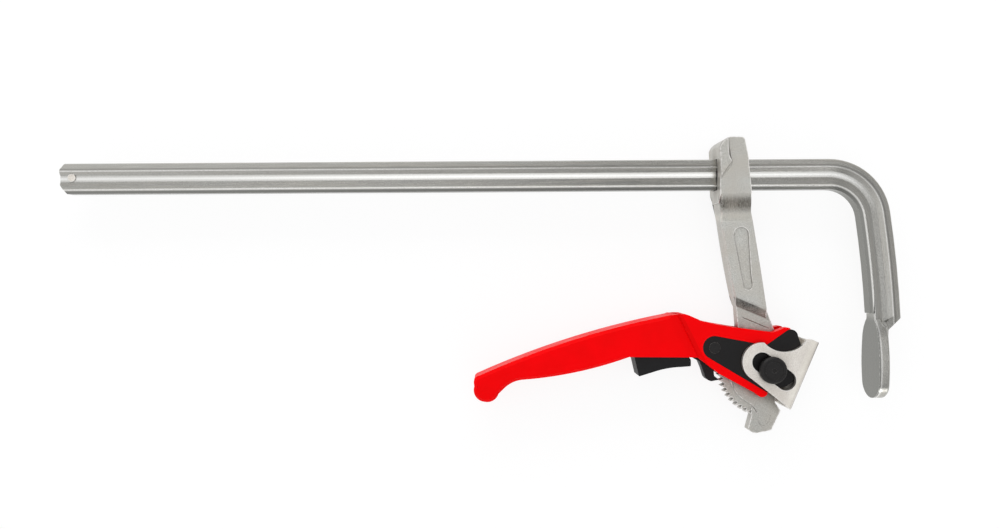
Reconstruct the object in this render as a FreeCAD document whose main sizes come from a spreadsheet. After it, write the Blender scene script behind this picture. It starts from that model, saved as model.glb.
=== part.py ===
import FreeCAD, Part
import math
import os

import Sketcher

# Quick release bar clamp, lying on its side: a profiled steel rail with a bent fixed jaw, a sliding
# forged arm, and a ratchet lever whose cam plates press a swivelling bracket against the work.
# Millimetres. The origin is the centre of the fixed jaw's clamping face. +X runs from the lever to
# the fixed jaw, +Y from the jaws to the rail, +Z up off the bench.

SIZES = [
    # rail and fixed jaw
    ("rail_depth", 22.0),           # rail section across Y
    ("rail_thickness", 10.5),       # rail section across Z
    ("rail_back", 591.0),           # from the jaw face back to the rail's free end
    ("throat", 134.7),              # rail centreline above the jaw centre
    ("strip_width", 5.6),           # flat strip along the outer edge
    ("groove_width", 12.6),
    ("groove_floor", 4.2),
    ("groove_depth", 1.75),
    ("edge_bevel", 1.5),
    ("bend_radius", 34.0),          # of the rail's centreline
    ("bend_angle", 82.0),
    ("bend_back", 31.5),            # bend centre, behind the jaw face
    ("arm_curve", 802.0),           # large radius of the fixed arm
    ("arm_turn", 6.2),
    ("jaw_height", 58.0),
    ("jaw_width", 26.0),
    ("jaw_thickness", 6.0),
    ("jaw_rim", 1.8),               # rounding round the back of the jaw
    ("slant_height", 18.5),         # slanted end of the bar, above the jaw centre
    ("slant_rise", 16.0),           # its rise over the next 20 mm outwards
    ("end_corner", 4.6),            # chamfers on the rail's free end
    ("stop_diameter", 6.0),
    ("stop_inset", 8.4),            # stop pin's axis from the free end
    ("stop_proud", 0.7),
    # sliding arm
    ("pivot_back", 77.2),           # lever pivot, behind the jaw face
    ("pivot_drop", 6.2),            # and below the jaw centre
    ("slide_fit", 0.35),            # head slot to rail, each side
    ("head_width", 26.0),
    ("boss_rise", 0.9),             # raised corner of the head
    ("body_width", 14.0),
    ("body_bevel", 0.9),
    ("web_thickness", 8.0),
    ("sector_thickness", 6.8),
    ("relief_depth", 0.8),
    ("tooth_tip", 35.8),
    ("tooth_depth", 3.0),
    ("tooth_pitch", 7.0),
    ("tooth_count", 11.0),
    ("tooth_first", 180.2),         # tip angle of the topmost tooth
    # pivot and bracket
    ("pin_diameter", 13.6),
    ("bore_fit", 0.08),             # running fit on a pin, each side
    ("pin_head", 19.2),
    ("pin_head_height", 3.7),
    ("side_gap", 0.3),              # gap between neighbouring plates across Z
    ("bracket_width", 28.0),
    ("bracket_plate", 3.0),
    ("face_angle", -23.3),          # where the pressure face points
    ("face_reach", 24.1),           # pivot to the pressure face
    ("face_up", 31.1),
    ("face_down", 21.1),
    ("slot_angle", -14.3),          # slot direction, from the face's direction
    ("slot_travel", 21.7),
    ("slot_forward", 12.6),         # slot's outer end, past the pivot
    ("bracket_end", 14.0),
    # lever, cam plates and pawl
    ("fork_width", 21.4),
    ("grip_width", 24.0),
    ("grip_wall", 2.1),
    ("grip_bevel", 2.2),
    ("slot_gap", 0.3),              # fork slot to the web, each side
    ("cam_thickness", 3.5),
    ("cam_radius", 19.0),
    ("cam_offset", 5.6),
    ("cam_offset_angle", 60.0),
    ("cam_fit", 0.15),
    ("pawl_back", 40.0),            # pawl pin from the pivot
    ("pawl_up", 15.7),
    ("pawl_pin", 6.0),
    ("pawl_head", 8.2),
    ("rivet_rise", 0.7),
    ("pawl_lift", 7.0),             # turn from seated in a gap to clear of the teeth
    ("pawl_thickness", 7.8),
    ("pawl_gap", 0.4),              # slot round the pawl, each side
    ("trigger_width", 19.0),
    ("wire", 0.8),
]


class Size:
    """A number kept together with the sheet formula that gives it."""

    def __init__(self, value, formula=None):
        self.value = float(value)
        self.formula = formula or "%.6g" % self.value

    def __add__(self, other):
        other = size(other)
        return Size(self.value + other.value, "(%s + %s)" % (self.formula, other.formula))

    def __sub__(self, other):
        other = size(other)
        return Size(self.value - other.value, "(%s - %s)" % (self.formula, other.formula))

    def __mul__(self, other):
        other = size(other)
        return Size(self.value * other.value, "(%s * %s)" % (self.formula, other.formula))

    def __truediv__(self, other):
        other = size(other)
        return Size(self.value / other.value, "(%s / %s)" % (self.formula, other.formula))

    def __neg__(self):
        return Size(-self.value, "(0 - %s)" % self.formula)

    __radd__ = __add__
    __rmul__ = __mul__

    def __rsub__(self, other):
        return size(other) - self


def size(number):
    return number if isinstance(number, Size) else Size(number)


def sine(angle):
    angle = size(angle)
    return Size(math.sin(math.radians(angle.value)), "sin(%s)" % angle.formula)


def cosine(angle):
    angle = size(angle)
    return Size(math.cos(math.radians(angle.value)), "cos(%s)" % angle.formula)


def polar(radius, angle, centre=(0, 0)):
    """The point at a radius and an angle about a centre."""
    return (size(centre[0]) + radius * cosine(angle), size(centre[1]) + radius * sine(angle))


def turned(point, angle, centre=(0, 0)):
    """A point turned about a centre."""
    across = size(point[0]) - centre[0]
    along = size(point[1]) - centre[1]
    return (centre[0] + across * cosine(angle) - along * sine(angle),
            centre[1] + across * sine(angle) + along * cosine(angle))


doc = FreeCAD.newDocument("bar_clamp")
sheet = doc.addObject("Spreadsheet::Sheet", "Sizes")
sizes = {}
for row, (alias, number) in enumerate(SIZES, start=1):
    sheet.set("A%d" % row, alias)
    sheet.set("B%d" % row, str(number))
    sheet.setAlias("B%d" % row, alias)
    sizes[alias] = Size(number, "Sizes." + alias)
doc.recompute()


def S(alias):
    return sizes[alias]


def bind(thing, prop, amount):
    """Set a property and tie it to the sheet."""
    thing.setExpression(prop, size(amount).formula)


def new_body(label, x=0, y=0, turn=None):
    """An empty body, set at its own reference point and turned about Z."""
    body = doc.addObject("PartDesign::Body", label)
    body.Label = label
    body.Placement = FreeCAD.Placement(
        FreeCAD.Vector(size(x).value, size(y).value, 0),
        FreeCAD.Rotation(FreeCAD.Vector(0, 0, 1), size(turn or 0).value))
    bind(body, "Placement.Base.x", x)
    bind(body, "Placement.Base.y", y)
    if turn is not None:
        bind(body, "Placement.Rotation.Angle", turn)
    return body


def origin_plane(body, role):
    return next(item for item in body.Origin.OriginFeatures if item.Role == role)


def new_sketch(body, name, role="XY_Plane", offset=None):
    sketch = body.newObject("Sketcher::SketchObject", name)
    sketch.AttachmentSupport = [(origin_plane(body, role), "")]
    sketch.MapMode = "FlatFace"
    if offset is not None:
        sketch.AttachmentOffset = FreeCAD.Placement(
            FreeCAD.Vector(0, 0, size(offset).value), FreeCAD.Rotation())
        bind(sketch, "AttachmentOffset.Base.z", offset)
    return sketch


def hold(sketch, kind, amount, *where):
    """A constraint whose value is tied to the sheet."""
    amount = size(amount)
    index = sketch.addConstraint(Sketcher.Constraint(kind, *where, amount.value))
    if "Sizes." in amount.formula:
        sketch.setExpression("Constraints[%d]" % index, amount.formula)


def vector(point):
    return FreeCAD.Vector(size(point[0]).value, size(point[1]).value, 0)


def bent_edge(start, end, radius):
    """A circle's arc from start to end: a positive radius turns left, a negative one right."""
    chord = end - start
    rise = math.sqrt(radius * radius - chord.Length * chord.Length / 4)
    left = FreeCAD.Vector(-chord.y, chord.x, 0).normalize()
    centre = (start + end) * 0.5 + left * math.copysign(rise, radius)
    first, last = (start, end) if radius > 0 else (end, start)
    angles = [math.atan2(point.y - centre.y, point.x - centre.x) for point in (first, last)]
    circle = Part.Circle(centre, FreeCAD.Vector(0, 0, 1), abs(radius))
    return Part.ArcOfCircle(circle, angles[0], angles[1])


def draw(sketch, points, closed=True):
    """Lines and arcs through points (x, y) or (x, y, radius of the arc to the next point)."""
    ends = []
    count = len(points) if closed else len(points) - 1
    for index in range(count):
        here = points[index]
        there = points[(index + 1) % len(points)]
        if len(here) > 2:
            radius = size(here[2])
            geo = sketch.addGeometry(bent_edge(vector(here), vector(there), radius.value))
            ends.append((geo, 1, 2) if radius.value > 0 else (geo, 2, 1))
            hold(sketch, "Radius", radius if radius.value > 0 else -radius, geo)
        else:
            geo = sketch.addGeometry(Part.LineSegment(vector(here), vector(there)))
            ends.append((geo, 1, 2))
    for index, (geo, start, end) in enumerate(ends):
        if index or closed:
            before = ends[index - 1]
            sketch.addConstraint(Sketcher.Constraint("Coincident", before[0], before[2], geo, start))
        hold(sketch, "DistanceX", points[index][0], -1, 1, geo, start)
        hold(sketch, "DistanceY", points[index][1], -1, 1, geo, start)
    if not closed:
        geo, start, end = ends[-1]
        hold(sketch, "DistanceX", points[-1][0], -1, 1, geo, end)
        hold(sketch, "DistanceY", points[-1][1], -1, 1, geo, end)


def outline(body, name, points, role="XY_Plane", offset=None):
    sketch = new_sketch(body, name, role, offset)
    draw(sketch, points)
    return sketch


def round_outline(body, name, radius, centre=(0, 0), role="XY_Plane", offset=None):
    sketch = new_sketch(body, name, role, offset)
    circle = Part.Circle(vector(centre), FreeCAD.Vector(0, 0, 1), size(radius).value)
    geo = sketch.addGeometry(circle)
    hold(sketch, "DistanceX", centre[0], -1, 1, geo, 3)
    hold(sketch, "DistanceY", centre[1], -1, 1, geo, 3)
    hold(sketch, "Radius", radius, geo)
    return sketch


def feature(body, kind, name, sketch, length, both=True, flipped=False):
    """A pad or a pocket, both ways from its sketch or one way."""
    item = body.newObject("PartDesign::" + kind, name)
    item.Profile = sketch
    item.Midplane = both
    item.Reversed = flipped
    item.Length = size(length).value
    bind(item, "Length", length)
    sketch.Visibility = False
    doc.recompute()
    return sound(item)


def pad(body, name, sketch, length, both=True, flipped=False):
    return feature(body, "Pad", name, sketch, length, both, flipped)


def pocket(body, name, sketch, length, both=True, flipped=False):
    before = body.Shape.Volume
    item = feature(body, "Pocket", name, sketch, length, both, flipped)
    if before - body.Shape.Volume < 1e-3:
        raise RuntimeError("%s cuts nothing from %s" % (name, body.Label))
    return item


def revolved(body, name, profile):
    """A profile turned about the body's own Z axis."""
    item = body.newObject("PartDesign::Revolution", name)
    item.Profile = profile
    item.ReferenceAxis = (profile, ["V_Axis"])
    item.Angle = 360
    profile.Visibility = False
    doc.recompute()
    return sound(item)


def sound(item):
    """Stop at a feature that failed, under its own name."""
    if "Invalid" in item.State or item.Shape.isNull():
        raise RuntimeError("%s failed" % item.Label)
    return item


def mirrored(body, name, items):
    """The same cuts on the underside."""
    item = body.newObject("PartDesign::Mirrored", name)
    item.Originals = items
    item.MirrorPlane = (origin_plane(body, "XY_Plane"), [""])
    body.Tip = item
    doc.recompute()
    return sound(item)


def rounded(body, name, test, radius, kind="Fillet"):
    """A fillet or chamfer on the edges that pass a test on their shape."""
    shape = body.Tip.Shape
    names = ["Edge%d" % (number + 1) for number, edge in enumerate(shape.Edges) if test(edge)]
    if not names:
        raise RuntimeError("%s finds no edge on %s" % (name, body.Label))
    item = body.newObject("PartDesign::" + kind, name)
    item.Base = (body.Tip if body.Tip is not item else item.BaseFeature, names)
    prop = "Radius" if kind == "Fillet" else "Size"
    setattr(item, prop, size(radius).value)
    bind(item, prop, radius)
    body.Tip = item
    doc.recompute()
    return sound(item)


def at_height(edge, height, slack=0.01):
    """Whether an edge lies in either flat face at this distance from the middle."""
    spots = [vertex.Z for vertex in edge.Vertexes] + [edge.CenterOfMass.z]
    return all(abs(abs(spot) - height) < slack for spot in spots)


def near(edge, x, y, reach=0.6):
    spot = edge.CenterOfMass
    return math.hypot(spot.x - size(x).value, spot.y - size(y).value) < reach


# Places shared by several pieces, in the part's frame
pivot = (-S("pivot_back"), -S("pivot_drop"))
pawl_axis = (-S("pivot_back") - S("pawl_back"), -S("pivot_drop") + S("pawl_up"))
pawl_seat = (-S("pawl_back"), S("pawl_up"))
bore = S("pin_diameter") / 2 + S("bore_fit")
web_slot = S("web_thickness") + 2 * S("slot_gap")
cam_floor = S("fork_width") / 2 - S("cam_thickness") - 0.2


# Rail and fixed jaw: the rolled bar follows one path round the bend and into the fixed arm
rail = new_body("rail_and_fixed_jaw", -S("rail_back"), S("throat"))
half = S("rail_depth") / 2
face = S("rail_thickness") / 2
groove_top = half - S("strip_width")
groove_low = groove_top - S("groove_width")
floor_top = groove_top - (S("groove_width") - S("groove_floor")) * 0.4
floor_low = floor_top - S("groove_floor")
floor_face = face - S("groove_depth")
bevel_face = face - S("edge_bevel") * 0.9
front = [
    (half - 0.7, face),
    (groove_top, face),
    (floor_top, floor_face),
    (floor_low, floor_face),
    (groove_low, face - 0.25),
    (groove_low - 0.3, face),
    (S("edge_bevel") - half, face),
    (-half, bevel_face),
]
section = [(half, face - 0.7)] + front
section += [(across, -up) for across, up in reversed(section)]
rail_section = outline(rail, "RailSection", section, "YZ_Plane")
bend_start = S("rail_back") - S("bend_back")
bend_centre = (bend_start, -S("bend_radius"))
bend_end = polar(S("bend_radius"), 90 - S("bend_angle"), bend_centre)
curve_centre = polar(S("bend_radius") + S("arm_curve"), 90 - S("bend_angle") + 180,
                     polar(S("bend_radius") * 2, 90 - S("bend_angle"), bend_centre))
curve_end = polar(S("arm_curve"), 90 - S("bend_angle") - S("arm_turn"), curve_centre)
run_out = curve_end[1] - (S("slant_height") - S("throat") - 1)
lean = 90 - S("bend_angle") - S("arm_turn")
arm_end = (curve_end[0] + run_out * sine(lean) / cosine(lean), curve_end[1] - run_out)
path = new_sketch(rail, "RailPath")
draw(path, [(0, 0), (bend_start, 0, -S("bend_radius")), (bend_end[0], bend_end[1], -S("arm_curve")),
            curve_end, arm_end], closed=False)
doc.recompute()
bar = rail.newObject("PartDesign::AdditivePipe", "Bar")
bar.Profile = rail_section
bar.Spine = (path, ["Edge1", "Edge2", "Edge3", "Edge4"])
doc.recompute()
path.Visibility = False

# The bar's end is forged into a flat oval jaw, cut slantwise behind it
jaw_x = S("rail_back")
jaw_y = -S("throat")
jaw_half = S("jaw_height") / 2
jaw_side = S("jaw_width") / 2
jaw_round = jaw_side - 0.6
jaw_lobe = jaw_half - jaw_round
jaw_outline = outline(rail, "JawOutline", [
    (jaw_y - jaw_lobe, -jaw_round, S("jaw_height") * 2),
    (jaw_y + jaw_half * 0.45, -jaw_side + 1.2, S("jaw_width")),
    (jaw_y + jaw_half, -face),
    (jaw_y + jaw_half, face, S("jaw_width")),
    (jaw_y + jaw_half * 0.45, jaw_side - 1.2, S("jaw_height") * 2),
    (jaw_y - jaw_lobe, jaw_round, jaw_round + 0.001),
    (jaw_y - jaw_half, 0, jaw_round + 0.001),
], "YZ_Plane", jaw_x)
pad(rail, "JawPlate", jaw_outline, S("jaw_thickness"), both=False)


def jaw_back(edge):
    spots = [vertex.X for vertex in edge.Vertexes] + [edge.CenterOfMass.x]
    level = (jaw_x + S("jaw_thickness")).value
    return all(abs(spot - level) < 0.01 for spot in spots) and edge.CenterOfMass.y < jaw_y.value + 8


rounded(rail, "JawRim", jaw_back, S("jaw_rim"))


def slant(across, above=0):
    """A point on the slanted end, or at a height above it, at a distance behind the jaw face."""
    rise = (across - S("jaw_thickness")) * S("slant_rise") / 20
    return (jaw_x + across, jaw_y + S("slant_height") + rise + above)


# The rib along the bar's edges turns across it at the slanted end
rib = S("strip_width") * 1.02
outer_edge = S("rail_depth") - 3.2
end_rib = outline(rail, "EndRibOutline", [
    slant(1), slant(outer_edge), slant(outer_edge, rib), slant(1, rib),
])
pad(rail, "EndRib", end_rib, 2 * face)
back_cut = outline(rail, "BackCut", [
    slant(S("jaw_thickness")),
    slant(S("rail_depth") + 4),
    (jaw_x + S("rail_depth") + 4, jaw_y - 10),
    (jaw_x + S("jaw_thickness"), jaw_y - 10),
])
pocket(rail, "SlantedEnd", back_cut, S("jaw_width") + 2)
face_cut = outline(rail, "FaceCut", [
    (jaw_x - 6, jaw_y - jaw_half),
    (jaw_x, jaw_y - jaw_half),
    (jaw_x, jaw_y + jaw_half + 4),
    (jaw_x - 6, jaw_y + jaw_half + 4),
])
pocket(rail, "FlatFace", face_cut, S("jaw_width"))

# Free end: two corner chamfers and the hole for the stop pin
corner = S("end_corner")
pocket(rail, "UpperCorner", outline(rail, "UpperCornerCut", [
    (-1, half - corner), (0, half - corner), (corner * 0.8, half), (corner * 0.8, half + 1),
    (-1, half + 1),
]), S("rail_thickness") + 2)
pocket(rail, "LowerCorner", outline(rail, "LowerCornerCut", [
    (-1, corner * 1.4 - half), (0, corner * 1.4 - half), (corner * 1.1, -half),
    (corner * 1.1, -half - 1), (-1, -half - 1),
]), S("rail_thickness") + 2)
pocket(rail, "StopHole", round_outline(
    rail, "StopHoleCut", S("stop_diameter") / 2 + 0.01, (S("stop_inset"), 0.8)), S("rail_thickness") + 2)

# Stop pin, riveted through the rail, its ends hammered to low domes
stop_pin = new_body("rail_stop_pin", S("stop_inset") - S("rail_back"), S("throat") + 0.8)
stop_top = floor_face + S("stop_proud")
stop_side = S("stop_diameter") / 2
dome_rise = S("stop_proud") - 0.1
stop_profile = outline(stop_pin, "StopProfile", [
    (0, -stop_top),
    (stop_side * 0.5, -stop_top),
    (stop_side * 0.85, dome_rise * 0.4 - stop_top),
    (stop_side, dome_rise - stop_top),
    (stop_side, stop_top - dome_rise),
    (stop_side * 0.85, stop_top - dome_rise * 0.4),
    (stop_side * 0.5, stop_top),
    (0, stop_top),
], "XZ_Plane")
revolved(stop_pin, "Turned", stop_profile)


# Sliding arm: a forging in three thicknesses, head, body and web, drawn about the lever pivot
arm = new_body("sliding_arm", *pivot)
tip = S("tooth_tip")
web_bottom = S("tooth_first") + S("tooth_pitch") * (S("tooth_count") - 1)
web_start = polar(tip, 126)
web_end = polar(tip, web_bottom)
eye = S("pin_diameter") / 2 + 8.7
web = outline(arm, "WebOutline", [
    (-22.6, 50),
    (web_start[0], web_start[1], tip),
    (web_end[0], web_end[1]),
    (-11.2, -33.4),
    (-14.3, -44.6),
    (-11.1, -46.9, 8),
    (-8.3, -47.3),
    (2.1, -45.4, 2.6),
    (3.4, -43.5),
    (9.5, -31),
    (5.5, -25),
    (*polar(eye, -58), eye),
    polar(eye, 20),
    (5.0, 28.5),
    (-0.9, 43.8),
    (-1.4, 50),
])
pad(arm, "Web", web, S("web_thickness"))
slot_low = pivot[1] * -1 + S("throat") - half - S("slide_fit")
slot_top = slot_low + S("rail_depth") + 2 * S("slide_fit")
body_outline = outline(arm, "BodyOutline", [
    (-35.6, slot_low - 5.5),
    (-33.9, slot_low - 19, 700),
    (-22.6, 45.2),
    (-0.6, 36.2),
    (-0.9, 43.8),
    (-5.2, 73.4),
    (-10.9, slot_low - 20, -120),
    (-13.4, slot_low - 5.5),
])
pad(arm, "Body", body_outline, S("body_width"))
head_outline = outline(arm, "HeadOutline", [
    (-35.6, slot_low - 9.5),
    (-13.3, slot_low - 9.5),
    (-13.6, slot_low + 0.5),
    (-15.8, slot_top + 1),
    (-18.0, slot_top + 12.6, 2.4),
    (-19.9, slot_top + 14.6),
    (-28.5, slot_top + 14.8, 11),
    (-36.6, slot_top + 7.6),
    (-35.6, slot_low + 11),
    (-36.1, slot_low + 4.5),
])
pad(arm, "Head", head_outline, S("head_width"))
head_side = S("head_width") / 2
boss_top = head_side + S("boss_rise")
for under in (False, True):
    level = head_side - 1
    boss = outline(arm, "BossOutline", [
        (-27.2, slot_top - 3.0),
        (-29.8, slot_top + 13.9, 11),
        (-36.2, slot_top + 7.3),
        (-35.3, slot_low + 11),
        (-34.9, slot_low + 9.4),
    ], offset=-level if under else level)
    pad(arm, "HeadBoss", boss, 1 + S("boss_rise"), both=False, flipped=under)


def crease(edge):
    on_top = at_height(edge, boss_top.value)
    return on_top and (near(edge, -28.5, slot_top + 5.45, 2) or near(edge, -31.05, slot_top - 8, 2))


rounded(arm, "BossBevel", crease, S("boss_rise") * 0.8, "Chamfer")
step_drop = (S("body_width") - S("web_thickness")) / 2
slope_face = S("body_width") / 2


def body_end(edge):
    spot = edge.CenterOfMass
    return at_height(edge, slope_face.value) and near(edge, -11.6, 40.7, 3)


slope = rounded(arm, "WebSlope", body_end, step_drop - 0.05, "Chamfer")
slope.ChamferType = "Two distances"
slope.Size2 = 6.5
slope.FlipDirection = True
doc.recompute()


def long_side(edge):
    return at_height(edge, slope_face.value) and edge.Length > 30 and edge.CenterOfMass.y > 55


rounded(arm, "BodyEdges", long_side, S("body_bevel"), "Chamfer")


head_end = slot_low - 9.5
for under in (1, -1):
    wedge = outline(arm, "HeadWedge", [
        (head_end - 1, under * (slope_face - 0.8)),
        (head_end - 1, under * (head_side + 1)),
        (head_end + 6.2, under * (head_side + 1)),
        (head_end + 6.2, under * head_side),
        (head_end, under * (slope_face + 0.2)),
    ], "YZ_Plane")
    pocket(arm, "HeadSlope", wedge, 90)
rail_way = outline(arm, "RailWay", [
    (slot_low, -face - S("slide_fit")),
    (slot_top, -face - S("slide_fit")),
    (slot_top, face + S("slide_fit")),
    (slot_low, face + S("slide_fit")),
], "YZ_Plane")
pocket(arm, "RailSlot", rail_way, 90)
relief = outline(arm, "ReliefOutline", [
    (-24.4, slot_low - 30.8),
    (-17.3, 59.5, 3.0),
    (-11.7, 58.8),
    (-13.8, slot_low - 32.3, 5.4),
], offset=S("body_width") / 2 - S("relief_depth"))
relief_cut = pocket(arm, "Relief", relief, 5, both=False, flipped=True)
sector_face = S("sector_thickness") / 2
sector = outline(arm, "SectorBand", [
    (*polar(tip + 2, 130), tip + 2),
    polar(tip + 2, web_bottom - 2),
    (*polar(tip - 7, web_bottom - 2), -(tip - 7)),
    polar(tip - 7, 130),
], offset=sector_face)
sector_cut = pocket(arm, "SectorStep", sector, 5, both=False, flipped=True)
mirrored(arm, "UndersideRecesses", [relief_cut, sector_cut])
pocket(arm, "PivotBore", round_outline(arm, "PivotCircle", bore), S("web_thickness") + 2)

# Ratchet: one gap with a steep side that the pawl bears on and a long easy side, then its copies
gap_tip = S("tooth_first")
root = tip - S("tooth_depth")
gap = outline(arm, "ToothGap", [
    polar(tip + 1.2, gap_tip - 1.9),
    polar(tip, gap_tip + 0.5),
    polar(root, gap_tip + S("tooth_pitch") - 1.1),
    polar(root, gap_tip + S("tooth_pitch") - 0.25),
    polar(tip + 1.2, gap_tip + S("tooth_pitch") + 0.1),
])
first_gap = pocket(arm, "FirstGap", gap, S("web_thickness") + 2)
teeth = arm.newObject("PartDesign::PolarPattern", "Teeth")
teeth.Originals = [first_gap]
teeth.Axis = (origin_plane(arm, "Z_Axis"), [""])
teeth.Angle = ((S("tooth_count") - 2) * S("tooth_pitch")).value
bind(teeth, "Angle", (S("tooth_count") - 2) * S("tooth_pitch"))
teeth.Occurrences = int(S("tooth_count").value) - 1
bind(teeth, "Occurrences", S("tooth_count") - 1)
arm.Tip = teeth
doc.recompute()


# Lever: a cast grip with a channel under it and a fork that straddles the arm's web
lever = new_body("lever_handle", *pivot)
fork_side = S("fork_width") / 2
grip_side = S("grip_width") / 2
fork = outline(lever, "ForkOutline", [
    (-70, 36.0),
    (-53, 9.2),
    (-50.8, 7.9),
    (-36.2, -3.4),
    (-9.6, -17.8, 4),
    (-2.2, -17.0),
    (0, 0),
    (14.5, 26.5, 2.2),
    (12.3, 29.9),
    (9.7, 29.6),
    (3.9, 27.1, -8),
    (0.7, 26.7),
    (-25.2, 30.2),
    (-38.0, 32.5),
    (-46.5, 34.4, -8),
    (-51.5, 36.2),
    (-57.0, 38.6),
])
pad(lever, "Fork", fork, S("fork_width"))
grip = outline(lever, "GripOutline", [
    (-212.5, -9.8, 8.5),
    (-205.5, -22.2, 8.5),
    (-195.6, -16.5),
    (-190.5, -11.6, -22),
    (-178.5, -6.6, 290),
    (-100.4, 9.6),
    (-51.5, 9.0),
    (-65.6, 38.8, 4.0),
    (-70.0, 39.6, 640),
    (-211.6, -4.2, 8.0),
])
pad(lever, "Grip", grip, S("grip_width"))


def grip_rim(edge):
    return at_height(edge, grip_side.value) and edge.CenterOfMass.x < -80


def shoulder(edge):
    return at_height(edge, grip_side.value) and near(edge, -58.5, 23.9, 2)


rounded(lever, "Shoulder", shoulder, (grip_side - fork_side) * 0.95, "Chamfer")
rounded(lever, "GripBevel", grip_rim, S("grip_bevel"), "Chamfer")
channel = outline(lever, "ChannelOutline", [
    (-186.0, -12.5, 289),
    (-100.0, 4.0),
    (-54.6, 4.0),
    (-57.2, 14.0),
    (-66.8, 33.6),
    (-70.0, 36.0, 637),
    (-186.0, 1.0),
])
pocket(lever, "Channel", channel, S("grip_width") - 2 * S("grip_wall"))
room_end = -tip - 1.2
web_room = outline(lever, "WebRoom", [
    (room_end, -30),
    (30, -30),
    (30, 40),
    (-33.0, 40),
    (-33.0, 28.4),
    (room_end, 29.2),
])
pocket(lever, "ForkSlot", web_room, web_slot)
pawl_room = outline(lever, "PawlRoom", [
    (-60, -30),
    (room_end + 0.01, -30),
    (room_end + 0.01, 29.2),
    (-46.0, 30.8),
    (-66.0, 28.0),
    (-60.0, 5.0),
])
pocket(lever, "PawlSlot", pawl_room, S("pawl_thickness") + 2 * S("pawl_gap"))

# Cam plates: flush in the fork's cheeks, they carry the pivot load and push the bracket
hub = 8.3
cam_centre = polar(S("cam_offset"), S("cam_offset_angle"))
cam_top = polar(S("cam_radius"), -4.8, cam_centre)
cam_low = polar(S("cam_radius"), -66, cam_centre)


def cam_points(grow):
    """The cam plate's outline, or the pocket that holds it when grown."""
    seat_x, seat_y = pawl_seat
    return [
        (seat_x + hub * 0.14, seat_y + hub + grow, hub + grow + 0.02),
        (seat_x - hub * 0.52, seat_y - hub * 0.855 - grow),
        (-2.3, -16.6 - grow),
        (cam_low[0] + grow, cam_low[1] - grow, S("cam_radius") + grow * 3),
        (cam_top[0] + grow, cam_top[1]),
        (22.6 + grow, 15.6, 60),
        (20.1 + grow, 23.6, 5.2),
        (12.6 - grow, 28.0 + grow),
        (-3.0 - grow, 17.2 + grow),
    ]


cam_pocket = pocket(
    lever, "CamPocket", outline(lever, "CamPocketOutline", cam_points(S("cam_fit")), offset=cam_floor),
    S("cam_thickness") + 3, both=False, flipped=True)
mirrored(lever, "UndersideCamPocket", [cam_pocket])
pocket(lever, "PivotBore", round_outline(lever, "PivotCircle", bore), S("grip_width") + 2)
pocket(lever, "PawlPinBore", round_outline(
    lever, "PawlPinCircle", S("pawl_pin") / 2 + 0.01, pawl_seat), S("grip_width") + 2)

for label, under in (("cam_plate_front", False), ("cam_plate_back", True)):
    cam = new_body(label, *pivot)
    level = -cam_floor - 0.02 if under else cam_floor + 0.02
    sketch = outline(cam, "CamOutline", cam_points(0), offset=level)
    pad(cam, "Plate", sketch, S("cam_thickness"), both=False, flipped=under)
    pocket(cam, "PivotBore", round_outline(cam, "PivotCircle", bore), S("grip_width") + 4)
    pocket(cam, "PawlPinBore", round_outline(
        cam, "PawlPinCircle", S("pawl_pin") / 2 + 0.01, pawl_seat), S("grip_width") + 4)


# Pivot pin: one broad chamfered head above the bracket, a turned-down end in a riveted cap below
pin = new_body("pivot_pin", *pivot)
stack = S("bracket_width") / 2 + S("side_gap")
shank = S("pin_diameter") / 2
head = S("pin_head") / 2
spigot = shank * 0.6
turning = outline(pin, "TurnedProfile", [
    (0, -stack - S("pin_head_height") + 0.6),
    (spigot, -stack - S("pin_head_height") + 0.6),
    (spigot, -stack),
    (shank, -stack),
    (shank, stack),
    (head, stack),
    (head, stack + S("pin_head_height") - 1.1),
    (head - 1.1, stack + S("pin_head_height")),
    (0, stack + S("pin_head_height")),
], "XZ_Plane")
revolved(pin, "Turned", turning)
pocket(pin, "Centre", round_outline(
    pin, "CentreMark", 1.6, offset=stack + S("pin_head_height") - 0.5), 2, both=False, flipped=True)

cap = new_body("pivot_pin_cap", *pivot)
pad(cap, "Disc", round_outline(cap, "DiscCircle", head, offset=-stack), S("pin_head_height"),
    both=False, flipped=True)
pocket(cap, "RivetHole", round_outline(cap, "RivetCircle", spigot), 60)
rounded(cap, "Rim", lambda edge: at_height(edge, (stack + S("pin_head_height")).value)
        and edge.Curve.Radius > spigot.value + 0.5, 1.1, "Chamfer")


# Pressure bracket: a folded steel plate whose slotted sides ride on the pivot pin
bracket = new_body("pressure_bracket", *pivot, turn=S("face_angle"))
reach = S("face_reach")
slot_out = polar(S("slot_forward"), S("slot_angle"))
slot_in = polar(S("slot_forward") - S("slot_travel"), S("slot_angle"))
slot_half = S("pin_diameter") / 2 + 0.3
end_centre = slot_in
side = outline(bracket, "SideOutline", [
    (*polar(S("bracket_end"), 106, end_centre), S("bracket_end") + 0.001),
    (*polar(S("bracket_end"), 262, end_centre), ),
    (reach, -S("face_down")),
    (reach, S("face_up")),
    (reach - 5.5, S("face_up"), 3.6),
    (reach - 9.6, S("face_up") - 2.6, -19.5),
])
pad(bracket, "Sides", side, S("bracket_width"))
inner = outline(bracket, "InnerOutline", [
    (-40, -S("face_down") - 20),
    (reach - S("bracket_plate"), -S("face_down") - 20),
    (reach - S("bracket_plate"), S("face_up") + 20),
    (-40, S("face_up") + 20),
])
pocket(bracket, "Fold", inner, S("bracket_width") - 2 * S("bracket_plate"))
along = 90 + S("slot_angle")
slot = outline(bracket, "SlotOutline", [
    (*polar(slot_half, along, slot_in), slot_half + 0.001),
    polar(slot_half, along + 180, slot_in),
    (*polar(slot_half, along + 180, slot_out), slot_half + 0.001),
    polar(slot_half, along, slot_out),
])
pocket(bracket, "PinSlot", slot, S("bracket_width") + 2)


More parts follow.
